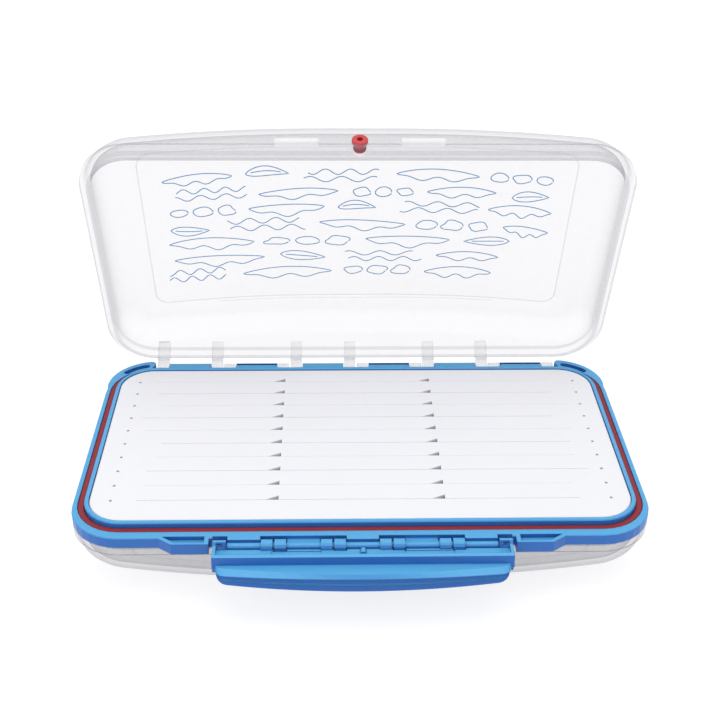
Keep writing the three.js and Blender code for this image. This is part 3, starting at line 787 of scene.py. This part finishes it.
def ripple_outline(centre, length, height, draw):
    """A long closed ripple: a wavy upper edge and a smoother lower one that meet in two points."""
    steps = 44
    waves = draw.uniform(2.2, 3.6)
    phase = draw.uniform(0, math.tau)
    upper = []
    lower = []
    for i in range(steps + 1):
        share = i / steps
        x = centre[0] + (share - 0.5) * length
        belly = math.sin(math.pi * share) ** 0.7 * height / 2
        crest = math.sin(share * waves * math.tau + phase) * height * 0.2
        sway = math.sin(share * math.pi + phase) * height * 0.12
        upper.append((x, centre[1] + sway + belly + crest * math.sin(math.pi * share)))
        lower.append((x, centre[1] + sway - belly * 0.7))
    return [upper + lower[-2::-1]]


def ripple_lines(centre, length, height, draw):
    """Two loose water lines, one above the other, with uneven crests."""
    steps = 40
    strokes = []
    for level in (-0.3, 0.3):
        waves = draw.uniform(2.0, 3.4)
        phase = draw.uniform(0, math.tau)
        start = draw.uniform(-0.5, -0.38) * length
        reach = draw.uniform(0.85, 0.95) * length
        strokes.append([
            (centre[0] + start + reach * i / steps,
             centre[1] + height * (level + 0.22 * math.sin(i / steps * waves * math.tau + phase)))
            for i in range(steps + 1)])
    return strokes


def pebble_outlines(centre, length, height, draw):
    """A short row of rounded stones, their outlines not quite closed."""
    steps = 40
    count = 3
    strokes = []
    for stone in range(count):
        x = centre[0] + ((stone + 0.5) / count - 0.5) * length
        across = length / count * draw.uniform(0.35, 0.42)
        deep = height * draw.uniform(0.3, 0.45)
        wobble = [draw.uniform(-0.1, 0.1) for _ in range(3)]
        points = []
        for i in range(steps + 1):
            angle = math.tau * 0.97 * i / steps + 0.3
            swell = 1 + sum(w * math.sin((k + 2) * angle) for k, w in enumerate(wobble))
            points.append((x + across * swell * math.cos(angle), centre[1] + deep * swell * math.sin(angle)))
        strokes.append(points)
    return strokes


def leaf_lines(centre, length, height, draw):
    """A pointed leaf outline with its middle rib."""
    steps = 18
    bend = draw.uniform(-0.3, 0.3) * height
    turn = Matrix.Rotation(draw.choice((0, math.pi)) + draw.uniform(-0.16, 0.16), 2)

    def place(share, side):
        swell = math.sin(math.pi * share ** 0.75) ** 0.9
        across = side * height * 0.42 * swell + bend * math.sin(math.pi * share)
        return tuple(Vector(centre) + turn @ Vector(((share - 0.5) * length * 0.8, across)))

    outline = [place(i / steps, 1) for i in range(steps + 1)]
    outline += [place(1 - i / steps, -1) for i in range(1, steps + 1)]
    return [outline, [place(0.12 + 0.7 * i / steps, 0) for i in range(steps + 1)]]


def stream_drawing(draw):
    """All strokes of the generic stream print: rows of closed ripples, water lines, leaves and stones."""
    half_x = 74.5 * MM
    low_y = -32 * MM
    rows = 7
    row_height = 8.6 * MM
    least = 14 * MM
    overhang = 3 * MM
    motifs = (ripple_outline, leaf_lines, ripple_lines, ripple_outline, pebble_outlines)
    strokes = []
    for row in range(rows):
        x = -half_x - draw.uniform(0, 5) * MM
        turn = 2 * row
        while x < half_x - least:
            motif = motifs[turn % len(motifs)]
            length = draw.uniform(18, 24) * MM if motif is leaf_lines else draw.uniform(25, 38) * MM
            length = min(length, half_x + overhang - x)
            centre = (x + length / 2, low_y + (row + draw.uniform(0.42, 0.58)) * row_height)
            strokes += motif(centre, length, draw.uniform(5.2, 6.6) * MM, draw)
            x += length + draw.uniform(3, 6) * MM
            turn += 1
    return strokes


def print_mesh(shape):
    """The print's ink as thin strips just inside the panel's outer face."""
    line_width = 0.42 * MM

    def surface(x):
        face = shape.face(x) + shape.sizes.panel
        return face - 0.10 * MM, face - 0.05 * MM

    return gather([ribbon(stroke, line_width, surface) for stroke in stream_drawing(random.Random(7))])


class FLYBOX_OT_blue_mouldings(bpy.types.Operator):
    """Finishes the middle frame and both latches"""

    bl_idname = "flybox.blue_mouldings"
    bl_label = "Blue mouldings"

    def execute(self, context):
        blue = material_named("moulded_blue", moulded_blue, context.scene.fly_box_colours)
        for name in ("middle_frame", "latch_top", "latch_bottom"):
            piece = frame["nodes"][name]
            use_finish(piece, blue)
            smooth(piece.data, 25)
        return {"FINISHED"}


class FLYBOX_OT_red_silicone(bpy.types.Operator):
    """Finishes the seals and the vent plugs"""

    bl_idname = "flybox.red_silicone"
    bl_label = "Red silicone"

    def execute(self, context):
        red = material_named("soft_red", soft_red, context.scene.fly_box_colours.red)
        lighter = material_named("plug_red", plug_red, context.scene.fly_box_colours.plug)
        for side in SIDES:
            for name, finish in (("gasket", red), ("vent_plug", lighter)):
                piece = frame["nodes"][f"{name}_{side}"]
                use_finish(piece, finish)
                smooth(piece.data, 35)
        return {"FINISHED"}


class FLYBOX_OT_clear_lids(bpy.types.Operator):
    """Builds both clear lids"""

    bl_idname = "flybox.clear_lids"
    bl_label = "Clear lids"

    def execute(self, context):
        clear = material_named("clear_shell", clear_shell, context.scene.fly_box_colours.clear)
        rim = material_named("clear_rim", clear_rim, context.scene.fly_box_colours.rim)
        lump = material_named("clear_lump", clear_lump, context.scene.fly_box_colours.lump)
        mesh = lid_mesh(LidShape(context.scene.fly_box_lid))
        for side in SIDES:
            piece = add_piece(
                f"clear_lid_{side}", mesh.copy(), side_place(side), f"{side}_lid")
            use_finish(piece, clear, rim, lump)
            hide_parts(f"lid_{side}")
        return {"FINISHED"}


class FLYBOX_OT_slit_foams(bpy.types.Operator):
    """Builds both slit foams"""

    bl_idname = "flybox.slit_foams"
    bl_label = "Slit foams"

    def execute(self, context):
        white = material_named("slit_foam", slit_foam_finish, context.scene.fly_box_colours.foam)
        mesh = foam_mesh(context.scene.fly_box_foam, context.scene.fly_box_lid)
        for side in SIDES:
            piece = add_piece(
                f"slit_foam_{side}", mesh.copy(), side_place(side, lid=False), "frame")
            use_finish(piece, white)
            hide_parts(f"foam_{side}")
        return {"FINISHED"}


class FLYBOX_OT_lid_prints(bpy.types.Operator):
    """Prints the stream lines on both lids"""

    bl_idname = "flybox.lid_prints"
    bl_label = "Lid prints"

    def execute(self, context):
        ink = material_named("printed_ink", printed_ink, context.scene.fly_box_colours.ink)
        mesh = print_mesh(LidShape(context.scene.fly_box_lid))
        for side in SIDES:
            piece = add_piece(
                f"stream_print_{side}", mesh.copy(), side_place(side), f"{side}_lid")
            use_finish(piece, ink)
        return {"FINISHED"}


class FLYBOX_OT_stage(bpy.types.Operator):
    """Sets the camera, the pale floor and the soft light"""

    bl_idname = "flybox.stage"
    bl_label = "Stage"

    def execute(self, context):
        add_camera(context.scene)
        add_floor(context.scene)
        add_lights(context.scene)
        return {"FINISHED"}


def add_camera(scene):
    """The photograph's viewpoint, found by fitting the box's outline: tilt, turn and roll in degrees."""
    tilt = math.radians(30.91)
    turn = math.radians(1.67)
    roll = math.radians(0.64)
    field = math.radians(33.70)
    place = Vector((-11.1 * MM, -379.3 * MM, 267.3 * MM)) + Vector((0, 0, HINGE.z))
    ahead = Vector((math.sin(turn) * math.cos(tilt), math.cos(turn) * math.cos(tilt), -math.sin(tilt)))
    level = Vector((math.cos(turn), -math.sin(turn), 0))
    upright = level.cross(ahead)
    right = level * math.cos(roll) + upright * math.sin(roll)
    up = upright * math.cos(roll) - level * math.sin(roll)
    data = bpy.data.cameras.new("photo_camera")
    data.angle = field
    data.clip_start = 10 * MM
    camera = bpy.data.objects.new("photo_camera", data)
    scene.collection.objects.link(camera)
    camera.matrix_world = Matrix((
        (right.x, up.x, -ahead.x, place.x),
        (right.y, up.y, -ahead.y, place.y),
        (right.z, up.z, -ahead.z, place.z),
        (0, 0, 0, 1),
    ))
    scene.camera = camera


def add_floor(scene):
    reach = 3.0
    corners = [(-reach, -reach, 0), (reach, -reach, 0), (reach, reach, 0), (-reach, reach, 0)]
    mesh = bpy.data.meshes.new("floor")
    mesh.from_pydata(corners, [], [(0, 1, 2, 3)])
    floor = bpy.data.objects.new("floor", mesh)
    scene.collection.objects.link(floor)
    use_finish(floor, material_named("pale_floor", floor_finish, scene.fly_box_colours.floor))


def add_area(scene, name, place, aim, size, power):
    data = bpy.data.lights.new(name, "AREA")
    data.shape = "RECTANGLE"
    data.size, data.size_y = size
    data.energy = power
    lamp = bpy.data.objects.new(name, data)
    scene.collection.objects.link(lamp)
    lamp.location = place
    lamp.rotation_mode = "QUATERNION"
    lamp.rotation_quaternion = (Vector(aim) - Vector(place)).to_track_quat("-Z", "Y")


def add_lights(scene):
    world = bpy.data.worlds.new("studio")
    world.use_nodes = True
    background = world.node_tree.nodes["Background"]
    background.inputs["Color"].default_value = rgba(WHITE)
    background.inputs["Strength"].default_value = 0.95
    scene.world = world
    add_area(scene, "overhead", (0.0, 0.06, 0.9), (0.0, 0.0, 0.0), (0.9, 0.7), 3.0)
    add_area(scene, "left_front", (-0.6, -0.6, 0.6), (0.0, 0.0, 0.0), (0.5, 0.5), 1.0)
    scene.view_settings.view_transform = "Standard"


class FLYBOX_PT_panel(bpy.types.Panel):
    """Lists the box's build steps"""

    bl_idname = "FLYBOX_PT_panel"
    bl_label = "Fly box"
    bl_space_type = "VIEW_3D"
    bl_region_type = "UI"
    bl_category = "Fly box"

    def draw(self, context):
        for step in STEPS:
            self.layout.operator(step.bl_idname)
        for group in (context.scene.fly_box_lid, context.scene.fly_box_foam, context.scene.fly_box_colours):
            for key in group.bl_rna.properties.keys():
                if key not in ("rna_type", "name"):
                    self.layout.prop(group, key)


STEPS = (
    FLYBOX_OT_blue_mouldings,
    FLYBOX_OT_red_silicone,
    FLYBOX_OT_slit_foams,
    FLYBOX_OT_clear_lids,
    FLYBOX_OT_lid_prints,
    FLYBOX_OT_stage,
)
CLASSES = (LidSizes, FoamSizes, BoxColours, *STEPS, FLYBOX_PT_panel)


def register():
    for made in CLASSES:
        bpy.utils.register_class(made)
    bpy.types.Scene.fly_box_lid = bpy.props.PointerProperty(type=LidSizes)
    bpy.types.Scene.fly_box_foam = bpy.props.PointerProperty(type=FoamSizes)
    bpy.types.Scene.fly_box_colours = bpy.props.PointerProperty(type=BoxColours)


def unregister():
    del bpy.types.Scene.fly_box_colours
    del bpy.types.Scene.fly_box_foam
    del bpy.types.Scene.fly_box_lid
    for made in reversed(CLASSES):
        bpy.utils.unregister_class(made)


def main():
    register()
    bpy.ops.flybox.blue_mouldings()
    bpy.ops.flybox.red_silicone()
    bpy.ops.flybox.slit_foams()
    bpy.ops.flybox.clear_lids()
    bpy.ops.flybox.lid_prints()
    bpy.ops.flybox.stage()


if __name__ == "__main__":
    main()
